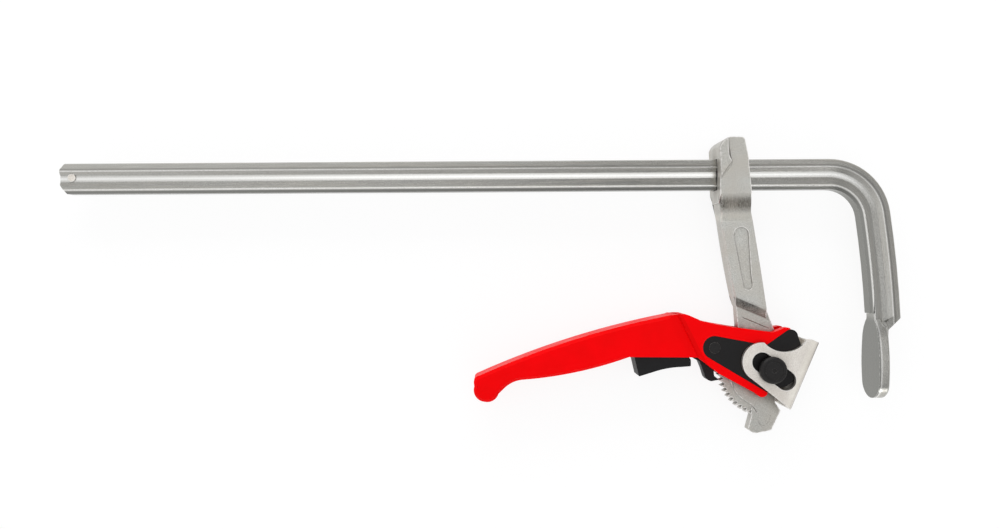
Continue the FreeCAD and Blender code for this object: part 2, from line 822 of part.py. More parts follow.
def fold_line(edge):
    spot = edge.CenterOfMass
    return (at_height(edge, S("bracket_width").value / 2) and abs(spot.x - reach.value) < 0.05)


rounded(bracket, "FoldRadius", fold_line, S("bracket_plate") - 0.2)


# Pawl: hub on the pawl pin, a tail along the channel, and a nose that is worked out seated in a gap
# of the ratchet and then lifted clear of the teeth, which is how it rests here
pawl = new_body("pawl", *pawl_axis)
centre = (S("pawl_back"), -S("pawl_up"))
flank = S("tooth_first") + S("tooth_pitch") * 2 - 0.25
nose = [turned(point, -S("pawl_lift")) for point in (
    polar(tip + 2.7, flank - 0.1, centre),
    polar(root + 0.55, flank - 0.65, centre),
    polar(root + 0.55, flank - 1.35, centre),
    polar(tip + 0.5, flank - S("tooth_pitch") + 1.25, centre),
    polar(tip + 1.3, flank - S("tooth_pitch") * 2, centre),
)]
pawl_outline = outline(pawl, "PawlOutline", [
    (*polar(6.3, 95), 6.301),
    polar(6.3, 150),
    (-14.0, -0.4),
    (-44.0, -2.6),
    (-50.0, -3.2),
    (-50.4, -8.6),
    (-44.0, -8.6),
    (-14.5, -7.6),
    (-9.2, -10.6),
    (-7.0, -16.0),
    (-5.4, -21.4, 6),
    *nose,
    (*polar(6.3, -20), 6.301),
])
pad(pawl, "Plate", pawl_outline, S("pawl_thickness"))
pocket(pawl, "PinBore", round_outline(
    pawl, "PinCircle", S("pawl_pin") / 2 + S("bore_fit")), S("pawl_thickness") + 2)
spring_room = S("pawl_thickness") / 2 - 2.9
pocket(pawl, "SpringSeat", round_outline(pawl, "SpringCircle", 6.6, offset=spring_room),
       6, both=False, flipped=True)

# Trigger pad: a moulded shoe pressed over the pawl's tail, concave where the fingers pull
trigger = new_body("trigger_pad", *pawl_axis)
shoe = outline(trigger, "ShoeOutline", [
    (-55.1, -1.0),
    (-50.9, -19.7),
    (-42.2, -16.9, -70),
    (-24.0, -13.9),
    (-16.7, -13.4),
    (-16.7, -8.6),
    (-21.2, -3.0),
    (-21.2, 1.0),
])
pad(trigger, "Shoe", shoe, S("trigger_width"))
tail_room = outline(trigger, "TailRoom", [
    (-14.0, -0.38),
    (-44.0, -2.58),
    (-50.02, -3.18),
    (-50.42, -8.62),
    (-44.0, -8.62),
    (-14.0, -7.6),
])
pocket(trigger, "TailSlot", tail_room, S("pawl_thickness") + 0.04)

# Pawl pin: riveted through both cheeks, with a low head on each cam plate
pawl_pin = new_body("pawl_pin", *pawl_axis)
cheek = cam_floor + 0.04 + S("cam_thickness")
rivet_top = cheek + S("rivet_rise")
rivet_side = S("pawl_head") / 2
pin_side = S("pawl_pin") / 2
pawl_pin_profile = outline(pawl_pin, "RivetProfile", [
    (0, -rivet_top),
    (rivet_side - 0.35, -rivet_top),
    (rivet_side, 0.35 - rivet_top),
    (rivet_side, -cheek),
    (pin_side, -cheek),
    (pin_side, cheek),
    (rivet_side, cheek),
    (rivet_side, rivet_top - 0.35),
    (rivet_side - 0.35, rivet_top),
    (0, rivet_top),
], "XZ_Plane")
revolved(pawl_pin, "Turned", pawl_pin_profile)

# Pawl spring: three close turns of wire round the pawl pin, drawn as one plain sleeve
spring = new_body("pawl_spring", *pawl_axis)
spring_side = pin_side + 0.8
pad(spring, "Turns", round_outline(
    spring, "OuterCircle", spring_side + S("wire"), offset=spring_room + 0.2), 3 * S("wire") + 0.1,
    both=False)
pocket(spring, "Bore", round_outline(spring, "InnerCircle", spring_side), S("pawl_thickness") + 4)

# Checks, then one file for each piece
doc.recompute()
for item in doc.Objects:
    if "Invalid" in item.State or "Error" in item.State:
        raise RuntimeError("%s failed: %s" % (item.Label, item.State))
pieces = [item for item in doc.Objects if item.isDerivedFrom("PartDesign::Body")]
os.makedirs("parts", exist_ok=True)
for piece in pieces:
    if piece.Shape.isNull() or not piece.Shape.isValid():
        raise RuntimeError("%s has no valid shape" % piece.Label)
    piece.Shape.exportStep("parts/%s.step" % piece.Label)
    print("%-20s %d solid(s) %10.1f mm3" % (piece.Label, len(piece.Shape.Solids), piece.Shape.Volume))
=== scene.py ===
import math

import bpy
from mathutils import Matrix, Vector


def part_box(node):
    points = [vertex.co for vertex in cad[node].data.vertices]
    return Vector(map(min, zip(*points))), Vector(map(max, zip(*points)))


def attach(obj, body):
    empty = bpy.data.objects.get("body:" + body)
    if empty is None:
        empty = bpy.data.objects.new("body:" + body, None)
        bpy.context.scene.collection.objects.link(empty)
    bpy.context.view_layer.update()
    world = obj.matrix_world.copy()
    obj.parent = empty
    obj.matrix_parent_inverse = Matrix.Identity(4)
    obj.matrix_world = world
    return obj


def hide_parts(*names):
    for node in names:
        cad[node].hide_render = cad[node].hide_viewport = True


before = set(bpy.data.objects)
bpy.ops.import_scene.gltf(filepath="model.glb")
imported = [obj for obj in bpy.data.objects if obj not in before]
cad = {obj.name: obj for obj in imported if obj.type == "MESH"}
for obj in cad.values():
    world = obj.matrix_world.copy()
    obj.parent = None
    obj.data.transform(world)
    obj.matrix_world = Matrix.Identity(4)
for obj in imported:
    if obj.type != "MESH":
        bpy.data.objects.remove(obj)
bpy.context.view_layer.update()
scene = bpy.context.scene

# The clamp's own frame: the centre of the fixed jaw's face is the origin, +X runs from the lever to
# the fixed jaw, +Y from the jaws to the rail, +Z up off the bench. Places on the clamp are written
# in millimetres, and MM turns them into Blender's metres.
MM = 0.001
PIVOT = (-77.2, -6.2)

# The rolled bar's middle line: straight, round the bend, then down the fixed arm's long curve.
# BEND_END is the slope, from the bend's centre, at which the arm takes over, and ARM_TOP is the
# level from which the arm's length is counted down.
BAR_LEVEL = 134.7
BEND_CENTRE = (-31.5, 100.7)
BEND_RADIUS = 34.0
BEND_END = math.tan(math.radians(8))
ARM_CENTRE = (-792.0, -6.2)
ARM_RADIUS = 802.0
ARM_TOP = 154.0

# Lines along the bar, outwards from its middle line, and how far its outer rim is lowered
STRIP_DARK_LINE = 6.7
STRIP_EDGE = 5.4
FLOOR_MIDDLE = -0.1
RIDGE = -8.3
CAD_RIDGE = -9.5
STRIP_FALL = 0.5

# Heights above and below the middle of the sliding arm
WEB_FACE = 4.0
NECK_FACE = 7.1
HEAD_FACE = 13.5

# Directions in the plane of the bench, along which finishes, painted shade and painted highlights
# change, and where the cam rubs
UP_THE_ARM = (0, 1, 0)
WEB_TO_NECK = (0.40, 0.9165, 0)
ACROSS_TAIL = (0.55, 0.835, 0)
OUT_OF_BRACKET = (0.920, -0.392, 0)
BESIDE_KNEE = (0.895, 0.446, 0)
CAM_TOUCH = (-60.0, -19.5, 0)

BENCH_LEVEL = -18.2
SKY_STRENGTH = 1.38


def on_arm(x, y):
    """Whether a place lies past the bend, on the fixed arm."""
    past = BEND_END * (x - BEND_CENTRE[0])
    return x > BEND_CENTRE[0] and y - BEND_CENTRE[1] < past


def across(x, y):
    """Distance outwards from the bar's middle line, in millimetres."""
    if x <= BEND_CENTRE[0]:
        return y - BAR_LEVEL
    centre, radius = (ARM_CENTRE, ARM_RADIUS) if on_arm(x, y) else (BEND_CENTRE, BEND_RADIUS)
    return math.hypot(x - centre[0], y - centre[1]) - radius


def colour(red, green, blue):
    """A screen colour, 0 to 255, as the linear colour that a shader takes."""
    def linear(value):
        value /= 255
        return value / 12.92 if value <= 0.04045 else ((value + 0.055) / 1.055) ** 2.4
    return (linear(red), linear(green), linear(blue), 1.0)


class Nodes:
    """Adds nodes to one node tree and joins them."""

    def __init__(self, tree):
        self.tree = tree

    def add(self, kind, feeds=None, **settings):
        """A new node with its settings, and its inputs fed."""
        node = self.tree.nodes.new("ShaderNode" + kind)
        for name, value in settings.items():
            setattr(node, name, value)
        for socket, value in (feeds or {}).items():
            self.feed(node.inputs[socket], value)
        return node

    def feed(self, socket, value):
        """Joins an output to the socket, or sets the socket to a plain value."""
        if isinstance(value, bpy.types.NodeSocket):
            self.tree.links.new(value, socket)
        else:
            socket.default_value = value

    def math(self, operation, first, second=0.0, clamp=False):
        node = self.add("Math", {0: first, 1: second}, operation=operation, use_clamp=clamp)
        return node.outputs[0]

    def remap(self, value, low, high, new_low=0.0, new_high=1.0):
        """Runs from new_low to new_high while the value goes from low to high, and stays there."""
        node = self.add("MapRange", {"Value": value, "From Min": low, "From Max": high,
                                     "To Min": new_low, "To Max": new_high})
        return node.outputs["Result"]

    def spread(self, value, new_low=0.0, new_high=1.0):
        """Widens a noise, which seldom leaves 0.3 to 0.7."""
        return self.remap(value, 0.3, 0.7, new_low, new_high)

    def between(self, value, rise, fall):
        """1 between a rise from 0 and a fall back to it, each a start and an end."""
        return self.math("MULTIPLY", self.remap(value, *rise), self.remap(value, *fall, 1.0, 0.0))

    def mix(self, factor, first, second):
        node = self.add("Mix", data_type="RGBA")
        for index, value in ((0, factor), (6, first), (7, second)):
            self.feed(node.inputs[index], value)
        return node.outputs[2]

    def noise(self, place, scale, detail=3.0, roughness=0.55):
        node = self.add("TexNoise", {"Vector": place, "Scale": scale, "Detail": detail,
                                     "Roughness": roughness})
        return node.outputs["Fac"]

    def stretch(self, place, by):
        node = self.add("VectorMath", {0: place, 1: by}, operation="MULTIPLY")
        return node.outputs["Vector"]


def effect(name, takes, gives):
    """An empty node group with named inputs and outputs."""
    tree = bpy.data.node_groups.new(name, "ShaderNodeTree")
    for label, kind, value in takes:
        socket = tree.interface.new_socket(label, in_out="INPUT", socket_type="NodeSocket" + kind)
        if value is not None:
            socket.default_value = value
    for label, kind in gives:
        tree.interface.new_socket(label, in_out="OUTPUT", socket_type="NodeSocket" + kind)
    nodes = Nodes(tree)
    return nodes, tree.nodes.new("NodeGroupInput"), tree.nodes.new("NodeGroupOutput")


def in_millimetres():
    """Object coordinates in millimetres."""
    nodes, _, end = effect("Millimetres", [], [("Place", "Vector")])
    spot = nodes.add("TexCoord").outputs["Object"]
    scaled = nodes.add("VectorMath", {0: spot, "Scale": 1 / MM}, operation="SCALE")
    nodes.feed(end.inputs["Place"], scaled.outputs["Vector"])
    return nodes.tree


def edge_wear_and_sheen():
    """Where a coating has thinned by rubbing along outside edges, broken up by noise; the same edge
    masks also give painted highlights along rims.
    """
    nodes, start, end = effect("Edge abrasion and sheen", [
        ("Place", "Vector", None), ("Reach", "Float", 0.0006), ("Breakup", "Float", 0.5),
        ("Threshold", "Float", 0.3),
    ], [("Edges", "Float"), ("Worn and sheen", "Float")])
    inside = nodes.add("AmbientOcclusion", {"Distance": start.outputs["Reach"]},
                       inside=True, only_local=True, samples=8)
    edges = nodes.math("SUBTRACT", 1.0, inside.outputs["AO"], clamp=True)
    blotch = nodes.noise(start.outputs["Place"], start.outputs["Breakup"], 5.0, 0.65)
    rim_amount = nodes.math("MULTIPLY", edges, nodes.remap(blotch, 0.35, 0.7, 0.3, 1.7))
    low = start.outputs["Threshold"]
    worn_and_sheen = nodes.remap(rim_amount, low, nodes.math("ADD", low, 0.18))
    nodes.feed(end.inputs["Edges"], edges)
    nodes.feed(end.inputs["Worn and sheen"], worn_and_sheen)
    return nodes.tree


def painted_corner_shade():
    """Painted shade: darkening in corners and under edges, from ambient occlusion, broken up by
    noise.
    """
    nodes, start, end = effect("Painted corner shade", [
        ("Place", "Vector", None), ("Reach", "Float", 0.004), ("Strength", "Float", 0.7),
    ], [("Shade", "Float")])
    shade = nodes.add("AmbientOcclusion", {"Distance": start.outputs["Reach"]}, samples=8)
    depth = nodes.math("SUBTRACT", 1.0, shade.outputs["AO"], clamp=True)
    cloud = nodes.spread(nodes.noise(start.outputs["Place"], 0.35, 4.0), 0.5, 1.2)
    # Painted shade where the corners are occluded
    corner_shade = nodes.math("MULTIPLY", nodes.math("MULTIPLY", depth, cloud), start.outputs["Strength"],
                      clamp=True)
    nodes.feed(end.inputs["Shade"], corner_shade)
    return nodes.tree


def blasted_grain():
    """Fine sparkle and pitting of blasted, plated steel."""
    nodes, start, end = effect("Blasted grain", [
        ("Place", "Vector", None), ("Grain", "Float", 3.0), ("Pits", "Float", 0.8),
    ], [("Sparkle", "Float"), ("Height", "Float"), ("Cloud", "Float")])
    place = start.outputs["Place"]
    grain = nodes.noise(place, start.outputs["Grain"], 4.0, 0.75)
    cells = nodes.add("TexVoronoi", {"Vector": place, "Scale": start.outputs["Pits"]},
                      feature="F1").outputs["Distance"]
    pits = nodes.remap(cells, 0.0, 0.22, -1.0, 0.0)
    cloud = nodes.noise(place, 0.055, 5.0, 0.6)
    height = nodes.math("ADD", grain, nodes.math("MULTIPLY", pits, 0.35))
    nodes.feed(end.inputs["Sparkle"], nodes.remap(grain, 0.36, 0.66))
    nodes.feed(end.inputs["Height"], height)
    nodes.feed(end.inputs["Cloud"], nodes.remap(cloud, 0.32, 0.68))
    return nodes.tree


def along_the_bar():
    """Place on the rolled bar: along it, across it from its middle line, and up, in millimetres."""
    nodes, start, end = effect("Along the bar", [("Place", "Vector", None)], [
        ("Line", "Vector"), ("Across", "Float")])
    parts = nodes.add("SeparateXYZ", {0: start.outputs["Place"]})
    x, y, z = (parts.outputs[axis] for axis in "XYZ")
    from_bend = nodes.math("SUBTRACT", x, BEND_CENTRE[0])
    over_bend = nodes.math("SUBTRACT", y, BEND_CENTRE[1])

    def outside(centre, radius):
        spot = nodes.add("CombineXYZ", {"X": x, "Y": y})
        reach = nodes.add("VectorMath", {0: spot.outputs[0], 1: (*centre, 0)},
                          operation="DISTANCE").outputs["Value"]
        return nodes.math("SUBTRACT", reach, radius)

    in_bend = nodes.math("GREATER_THAN", x, BEND_CENTRE[0])
    past = nodes.math("LESS_THAN", over_bend, nodes.math("MULTIPLY", from_bend, BEND_END))
    past_bend = nodes.math("MULTIPLY", in_bend, past)

    def chosen(straight, bend, arm):
        bent = nodes.add("Mix", {0: in_bend, 2: straight, 3: bend}).outputs[0]
        return nodes.add("Mix", {0: past_bend, 2: bent, 3: arm}).outputs[0]

    outwards = chosen(nodes.math("SUBTRACT", y, BAR_LEVEL), outside(BEND_CENTRE, BEND_RADIUS),
                      outside(ARM_CENTRE, ARM_RADIUS))
    turn = nodes.math("ARCTAN2", from_bend, over_bend)
    along = chosen(from_bend, nodes.math("MULTIPLY", turn, BEND_RADIUS),
                   nodes.math("SUBTRACT", ARM_TOP, y))
    line = nodes.add("CombineXYZ", {"X": along, "Y": outwards, "Z": z})
    nodes.feed(end.inputs["Line"], line.outputs[0])
    nodes.feed(end.inputs["Across"], outwards)
    return nodes.tree


def drawn_lines():
    """Fine lines and longer smears that rolling and drawing leave along a bar."""
    nodes, start, end = effect("Drawn lines", [
        ("Line", "Vector", None), ("Fineness", "Float", 1.0),
    ], [("Streaks", "Float"), ("Smears", "Float"), ("Height", "Float")])
    line = start.outputs["Line"]
    fine = nodes.noise(nodes.stretch(line, (0.06, 5.0, 5.0)), start.outputs["Fineness"], 5.0, 0.7)
    broad = nodes.noise(nodes.stretch(line, (0.012, 0.45, 0.45)), 1.0, 4.0, 0.6)
    spots = nodes.noise(nodes.stretch(line, (0.5, 1.6, 1.6)), 1.0, 4.0, 0.8)
    nodes.feed(end.inputs["Streaks"], nodes.spread(fine))
    nodes.feed(end.inputs["Smears"], nodes.spread(broad))
    nodes.feed(end.inputs["Height"], nodes.math("ADD", fine, nodes.math("MULTIPLY", spots, 0.6)))
    return nodes.tree


MILLIMETRES = in_millimetres()
EDGE_WEAR_AND_SHEEN = edge_wear_and_sheen()
PAINTED_CORNER_SHADE = painted_corner_shade()
BLASTED_GRAIN = blasted_grain()
ALONG_THE_BAR = along_the_bar()
DRAWN_LINES = drawn_lines()


class Finish(Nodes):
    """A material with one Principled shader, fed by the shared effects."""

    def __init__(self, name, **settings):
        material = bpy.data.materials.new(name)
        material.use_nodes = True
        super().__init__(material.node_tree)
        self.material = material
        self.shader = self.tree.nodes["Principled BSDF"]
        for label, value in settings.items():
            self.shader.inputs[label.replace("_", " ")].default_value = value
        self.place = self.use(MILLIMETRES).outputs["Place"]

    def use(self, group, feeds=None):
        """Places a shared effect in the material, with values of its own."""
        node = self.tree.nodes.new("ShaderNodeGroup")
        node.node_tree = group
        for socket, value in (feeds or {}).items():
            self.feed(node.inputs[socket], value)
        return node

    def out(self, socket, value):
        self.feed(self.shader.inputs[socket], value)

    def bump(self, height, depth, strength):
        node = self.add("Bump", {"Height": height, "Distance": depth, "Strength": strength})
        self.out("Normal", node.outputs["Normal"])

    def reach(self, direction):
        """How far a place lies in a direction, in millimetres from the origin."""
        node = self.add("VectorMath", {0: self.place, 1: direction}, operation="DOT_PRODUCT")
        return node.outputs["Value"]

    def height(self):
        """Distance above or below the clamp's middle, in millimetres."""
        parts = self.add("SeparateXYZ", {0: self.place})
        return self.math("ABSOLUTE", parts.outputs["Z"])


def rolled_steel():
    """Drawn bar: dull strip and slopes, a smoother groove floor painted brighter as a painted
    reflection, and ridge lines painted as bright painted highlights.
    """
    finish = Finish("rolled_steel", Metallic=1.0)
    bar = finish.use(ALONG_THE_BAR, {"Place": finish.place})
    lines = finish.use(DRAWN_LINES, {"Line": bar.outputs["Line"], "Fineness": 1.0})
    corner_shade = finish.use(PAINTED_CORNER_SHADE, {"Place": finish.place, "Reach": 0.003, "Strength": 0.5})
    wear_and_sheen = finish.use(EDGE_WEAR_AND_SHEEN, {"Place": finish.place, "Reach": 0.0005, "Breakup": 0.8})
    streaks, smears = lines.outputs["Streaks"], lines.outputs["Smears"]
    outwards = bar.outputs["Across"]

    def near_line(where, width):
        off = finish.math("ABSOLUTE", finish.math("SUBTRACT", outwards, where))
        return finish.remap(off, 0.0, width, 1.0, 0.0)

    # The groove floor is smoother, and painted brighter as a painted reflection; both fade round
    # the bend
    floor = near_line(FLOOR_MIDDLE, 2.9)
    along = finish.add("SeparateXYZ", {0: bar.outputs["Line"]}).outputs["X"]
    floor = finish.math("MULTIPLY", floor, finish.remap(along, 8, 48, 1.0, 0.1))
    bevel = finish.remap(outwards, RIDGE - 0.5, RIDGE - 1.0)
    # A darker line along the strip
    dark_line = finish.math("MULTIPLY", near_line(STRIP_DARK_LINE, 0.9), 0.45)
    # Thin painted highlights along the strip edge and the inner ridge, broken up by specks
    ridges = finish.math("MAXIMUM", near_line(STRIP_EDGE, 0.7), near_line(RIDGE, 0.9))
    speck = finish.noise(finish.stretch(bar.outputs["Line"], (0.8, 2.0, 2.0)), 1.6, 3.0, 0.8)
    ridges = finish.math("MULTIPLY", ridges, finish.remap(speck, 0.4, 0.6, 0.35, 1.0))
    slopes = finish.math("SUBTRACT", near_line(FLOOR_MIDDLE, 9.0), floor, clamp=True)
    pitted = finish.math("MULTIPLY", finish.remap(speck, 0.5, 0.62), slopes)

    steel = finish.mix(streaks, colour(164, 164, 160), colour(200, 200, 195))
    steel = finish.mix(finish.math("MULTIPLY", smears, 0.3), steel, colour(168, 158, 142))
    # Painted reflection: the groove floor brighter
    steel = finish.mix(floor, steel, colour(240, 240, 237))
    steel = finish.mix(bevel, steel, colour(134, 134, 130))
    steel = finish.mix(finish.math("MULTIPLY", pitted, 0.7), steel, colour(104, 102, 98))
    steel = finish.mix(dark_line, steel, colour(100, 98, 94))
    # Pale rims: partly real rubbing, partly painted highlight along the edges
    steel = finish.mix(wear_and_sheen.outputs["Worn and sheen"], steel, colour(236, 235, 230))
    # Painted highlights on the ridge lines
    steel = finish.mix(ridges, steel, colour(250, 249, 246))
    # Painted shade in corners and under edges
    steel = finish.mix(corner_shade.outputs["Shade"], steel, colour(50, 50, 47))
    finish.out("Base Color", steel)
    rough = finish.remap(smears, 0.0, 1.0, 0.18, 0.27)
    rough = finish.math("ADD", rough, finish.math("MULTIPLY", streaks, 0.06))
    rough = finish.math("SUBTRACT", rough, finish.math("MULTIPLY", floor, 0.06))
    finish.out("Roughness", rough)
    finish.bump(lines.outputs["Height"], 0.00005, 0.5)
    return finish.material


def forging_marks_and_shading(finish, tone):
    """Streaked painted shade where the neck slopes, a painted highlight at its foot, rough scale
    where the web begins, and painted shade on the web below.
    """
    height = finish.height()

    def band(direction, low, high, soft):
        return finish.between(finish.reach(direction), (low, low + soft), (high - soft, high))

    strokes = finish.noise(finish.stretch(finish.place, (2.2, 0.22, 1.0)), 1.0, 4.0, 0.7)
    strokes = finish.remap(strokes, 0.3, 0.6, 0.4, 1.0)
    # Streaked painted shade on the slope down from the head
    neck = finish.math("MULTIPLY", band(UP_THE_ARM, 105.8, 120.5, 5.5), strokes)
    neck = finish.math("MULTIPLY", neck, finish.remap(height, 7.15, 7.8))
    tone = finish.mix(neck, tone, colour(46, 44, 34))
    # A streaked painted highlight at the foot of the slope
    bright = finish.math("MULTIPLY", band(UP_THE_ARM, 99.5, 107.5, 3.0), strokes)
    tone = finish.mix(finish.math("MULTIPLY", bright, 0.5), tone, colour(238, 236, 224))

    grit = finish.remap(finish.noise(finish.place, 1.3, 3.0, 0.8), 0.4, 0.62, 0.55, 1.0)
    scale = finish.math("MULTIPLY", band(WEB_TO_NECK, -4.6, 1.9, 0.7), grit)
    on_slope = finish.between(height, (3.9, 4.1), (7.0, 7.1))
    tone = finish.mix(finish.math("MULTIPLY", scale, on_slope), tone, colour(44, 39, 32))

    on_web = finish.remap(height, WEB_FACE, WEB_FACE + 0.3, 1.0, 0.0)
    salt = finish.remap(finish.noise(finish.place, 1.5, 3.0, 0.85), 0.35, 0.65)
    salt = finish.math("MULTIPLY", finish.math("MULTIPLY", salt, on_web), 0.3)
    tone = finish.mix(salt, tone, colour(120, 112, 100))
    # Painted shade on the web under the lever and the bracket
    web_shade = finish.math("MULTIPLY", band(ACROSS_TAIL, -72.0, -52.0, 6.0), grit)
    web_shade = finish.math("MULTIPLY", finish.math("MULTIPLY", web_shade, on_web), 0.75)
    return finish.mix(web_shade, tone, colour(84, 76, 64))


def folded_edge(finish, tone):
    """On the bracket: a painted highlight on the rounding at its fold, painted shade on its outer
    face, and painted shade inside it by the cam.
    """
    reach = finish.reach(OUT_OF_BRACKET)
    rounding = finish.between(reach, (-52.0, -48.5), (-46.6, -45.8))
    # Painted highlight along the rounding of the fold
    tone = finish.mix(finish.math("MULTIPLY", rounding, 0.6), tone, colour(255, 251, 240))
    # Painted shade on the outer face
    tone = finish.mix(finish.remap(reach, -45.6, -45.2), tone, colour(108, 104, 96))
    # Painted shade inside the bracket, by the cam
    from_cam = finish.add("VectorMath", {0: finish.place, 1: CAM_TOUCH}, operation="SUBTRACT")
    level = finish.stretch(from_cam.outputs["Vector"], (1, 1, 0))
    from_cam = finish.add("VectorMath", {0: level}, operation="LENGTH").outputs["Value"]
    cam_shade = finish.math("MULTIPLY", finish.remap(from_cam, 5.0, 9.0, 1.0, 0.0),
                         finish.remap(finish.height(), 9.6, 10.2, 1.0, 0.0))
    return finish.mix(finish.math("MULTIPLY", cam_shade, 0.92), tone, colour(26, 24, 22))


def forged_zinc(name, light, dark, grain, rough, depth, marks_and_shading=None):
    """Blasted and plated forging: satin grey with a fine sparkle, and markings and painted shading
    of its own.
    """
    finish = Finish(name, Metallic=0.82)
    speck = finish.use(BLASTED_GRAIN, {"Place": finish.place, "Grain": grain, "Pits": 0.55})
    corner_shade = finish.use(PAINTED_CORNER_SHADE, {"Place": finish.place, "Reach": 0.009, "Strength": 0.8})
    wear_and_sheen = finish.use(EDGE_WEAR_AND_SHEEN, {"Place": finish.place, "Reach": 0.0012, "Breakup": 0.6,
                                  "Threshold": 0.16})
    tone = finish.mix(speck.outputs["Sparkle"], colour(*dark), colour(*light))
    if marks_and_shading:
        tone = marks_and_shading(finish, tone)
    warm = finish.math("MULTIPLY", speck.outputs["Cloud"], 0.4)
    tone = finish.mix(warm, tone, colour(204, 196, 184))
    # Pale rims: partly real rubbing, partly painted highlight along the edges
    tone = finish.mix(wear_and_sheen.outputs["Worn and sheen"], tone, colour(236, 234, 230))
    # Painted shade in corners and under edges
    tone = finish.mix(corner_shade.outputs["Shade"], tone, colour(74, 70, 64))
    finish.out("Base Color", tone)
    finish.out("Roughness", finish.remap(speck.outputs["Cloud"], 0.0, 1.0, *rough))
    finish.bump(speck.outputs["Height"], depth, 0.6)
    return finish.material


def red_enamel():
    """Gloss red powder coat with a faint orange peel, paler on the edges as a painted highlight,
    darker by the knee as painted shade.
    """
    finish = Finish("red_enamel", Specular_IOR_Level=0.04)
    peel = finish.noise(finish.place, 0.9, 3.0, 0.5)
    cloud = finish.noise(finish.place, 0.06, 3.0, 0.5)
    corner_shade = finish.use(PAINTED_CORNER_SHADE, {"Place": finish.place, "Reach": 0.003, "Strength": 0.75})
    wear_and_sheen = finish.use(EDGE_WEAR_AND_SHEEN, {"Place": finish.place, "Reach": 0.0006, "Breakup": 0.45,
                                  "Threshold": 0.62})
    red = finish.mix(finish.spread(cloud), colour(245, 0, 3), colour(254, 0, 6))
    # Painted highlight: the red paler along the edges
    edge = finish.math("MULTIPLY", wear_and_sheen.outputs["Edges"], 0.25)
    red = finish.mix(edge, red, colour(252, 34, 34))
    # Painted shade: the red darker beside the knee
    darker = finish.between(finish.reach(BESIDE_KNEE), (-123.0, -111.0), (-111.0, -110.4))
    red = finish.mix(finish.math("MULTIPLY", darker, 0.6), red, colour(222, 0, 0))
    # Painted shade in corners and round the cam plates
    red = finish.mix(corner_shade.outputs["Shade"], red, colour(70, 2, 4))
    finish.out("Base Color", red)
    finish.out("Roughness", finish.spread(cloud, 0.30, 0.40))
    finish.bump(peel, 0.00004, 0.35)
    return finish.material


def black_oxide(name, dark, light, rim_amount, threshold):
    """Blackened steel: nearly black, satin, with grey on its edges, partly real rubbing and partly
    painted highlight.
    """
    finish = Finish(name, Metallic=0.1, Specular_IOR_Level=0.22)
    speck = finish.use(BLASTED_GRAIN, {"Place": finish.place, "Grain": 2.6, "Pits": 0.6})
    wear_and_sheen = finish.use(EDGE_WEAR_AND_SHEEN, {"Place": finish.place, "Reach": 0.0006, "Breakup": 0.9,
                                  "Threshold": threshold})
    corner_shade = finish.use(PAINTED_CORNER_SHADE, {"Place": finish.place, "Reach": 0.003, "Strength": 0.3})
    black = finish.mix(speck.outputs["Sparkle"], colour(*dark), colour(*light))
    # Grey rims: partly real rubbing, partly painted highlight along the edges
    black = finish.mix(finish.math("MULTIPLY", wear_and_sheen.outputs["Worn and sheen"], rim_amount), black,
                       colour(120, 117, 114))
    # Painted shade in corners
    black = finish.mix(corner_shade.outputs["Shade"], black, colour(58, 52, 46))
    finish.out("Base Color", black)
    finish.out("Roughness", finish.remap(speck.outputs["Cloud"], 0.0, 1.0, 0.38, 0.52))
    finish.bump(speck.outputs["Height"], 0.00004, 0.5)
    return finish.material


def moulded_plastic():
    """Black nylon with a fine eroded texture."""
    finish = Finish("moulded_plastic", Specular_IOR_Level=0.25)
    grain = finish.noise(finish.place, 3.5, 2.0, 0.6)
    cloud = finish.noise(finish.place, 0.15, 3.0)
    wear_and_sheen = finish.use(EDGE_WEAR_AND_SHEEN, {"Place": finish.place, "Reach": 0.0006, "Breakup": 0.7,
                                  "Threshold": 0.5})
    black = finish.mix(finish.spread(cloud), colour(9, 9, 10), colour(18, 17, 19))
    black = finish.mix(finish.math("MULTIPLY", wear_and_sheen.outputs["Worn and sheen"], 0.4), black,
                       colour(78, 78, 80))
    finish.out("Base Color", black)
    finish.out("Roughness", finish.spread(grain, 0.42, 0.58))
    finish.bump(grain, 0.00005, 0.5)
    return finish.material


def spring_wire():
    """Bright wire, with its close turns drawn round the plain sleeve that stands for them."""
    finish = Finish("spring_wire", Metallic=1.0)
    turns = finish.noise(finish.stretch(finish.place, (0.4, 0.4, 6.0)), 1.0, 4.0)
    finish.out("Base Color", finish.mix(turns, colour(96, 98, 100), colour(170, 170, 168)))
    finish.out("Roughness", finish.spread(turns, 0.25, 0.45))
    finish.bump(turns, 0.00005, 0.4)
    return finish.material


def only(piece):
    """Makes the piece the only selected one, and the active one."""
    bpy.ops.object.select_all(action="DESELECT")
    piece.select_set(True)
    bpy.context.view_layer.objects.active = piece


def edit_all():
    """Opens the active piece for editing with all of it selected."""
    bpy.ops.object.mode_set(mode="EDIT")
    bpy.ops.mesh.select_all(action="SELECT")


def close_up():
    """Ends editing, with the faces of a closed piece turned outwards."""
    bpy.ops.mesh.select_all(action="SELECT")
    bpy.ops.mesh.normals_make_consistent(inside=False)
    bpy.ops.object.mode_set(mode="OBJECT")


def round_off(width, segments):
    """Bevels every edge of the active piece, width in millimetres."""
    edit_all()
    bpy.ops.mesh.bevel(offset=width * MM, segments=segments, profile=0.5, clamp_overlap=True)
    bpy.ops.object.mode_set(mode="OBJECT")


def merged(node):
    """A copy of a CAD piece with its doubles merged."""
    piece = bpy.data.objects.new(node + "_finished", cad[node].data.copy())
    scene.collection.objects.link(piece)
    only(piece)
    bpy.ops.mesh.customdata_custom_splitnormals_clear()
    edit_all()
    bpy.ops.mesh.remove_doubles(threshold=0.002 * MM)
    bpy.ops.object.mode_set(mode="OBJECT")
    return piece


